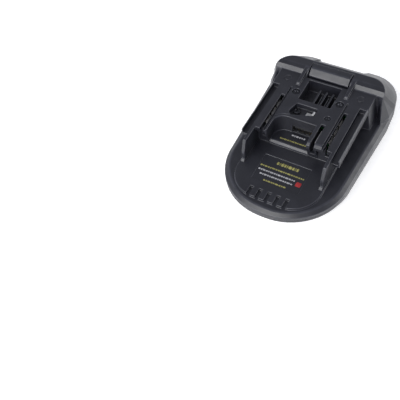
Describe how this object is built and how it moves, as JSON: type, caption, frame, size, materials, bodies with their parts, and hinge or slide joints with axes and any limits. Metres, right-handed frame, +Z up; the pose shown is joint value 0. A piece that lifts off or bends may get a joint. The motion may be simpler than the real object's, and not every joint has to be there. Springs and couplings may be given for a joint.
{
  "type": "tool battery adapter",
  "caption": "Split-shell adapter between a cordless tool's rails and a slide-on battery, with blade terminals, a charging socket in a pocket and a sprung thumb latch.",
  "frame": {"origin": "middle of the box around the adapter, on its underside", "axes": "+Y from the rounded label end to the latch end, +Z up through the tool rails"},
  "size_m": [0.082, 0.122, 0.0413],
  "materials": {
    "upper_shell": "satin moulded",
    "lower_shell": "satin moulded",
    "latch_plastic": "satin moulded",
    "spring_steel": "bright drawn",
    "contact_metal": "tinned",
    "dark_screw": "blackened",
    "zinc_screw": "zinc plated",
    "socket_steel": "nickel plated",
    "tongue_plastic": "plain moulded",
    "gold_pins": "gold plated",
    "board_laminate": "green lacquer",
    "ferrite": "sintered",
    "copper": "lacquered wire",
    "capacitor_can": "bright drawn",
    "chip_epoxy": "moulded",
    "block_plastic": "moulded",
    "red_sleeve": "smooth",
    "black_sleeve": "smooth",
    "yellow_sleeve": "smooth"
  },
  "bodies": {
    "adapter": {"upper_housing": "upper_shell", "lower_housing": "lower_shell", "latch_springs": "spring_steel", "power_contact_positive": "contact_metal", "power_contact_negative": "contact_metal", "signal_contact": "contact_metal", "socket_contacts": "contact_metal", "detect_contact": "contact_metal", "detect_screw": "dark_screw", "usb_shell": "socket_steel", "usb_tongue": "tongue_plastic", "usb_contacts": "gold_pins", "circuit_board": "board_laminate", "choke_core": "ferrite", "choke_winding": "copper", "capacitors": "capacitor_can", "regulator_chip": "chip_epoxy", "small_chips": "chip_epoxy", "terminal_block": "block_plastic", "battery_blade_positive": "contact_metal", "battery_blade_negative": "contact_metal", "battery_signal_blades": "contact_metal", "positive_wire": "red_sleeve", "negative_wire": "black_sleeve", "signal_wires": "yellow_sleeve", "case_screws": "zinc_screw", "platform_screws": "dark_screw", "terminal_screws": "zinc_screw", "board_screws": "zinc_screw"},
    "latch": {"release_latch": "latch_plastic"}
  },
  "joints": [
    {"name": "latch_press", "type": "slide", "parent": "adapter", "child": "latch", "axis": [0, 0, -1], "range_m": [0, 0.0036], "stiffness_N_per_m": 1400, "springref_m": -0.003, "deforming": ["latch_springs"]}
  ]
}
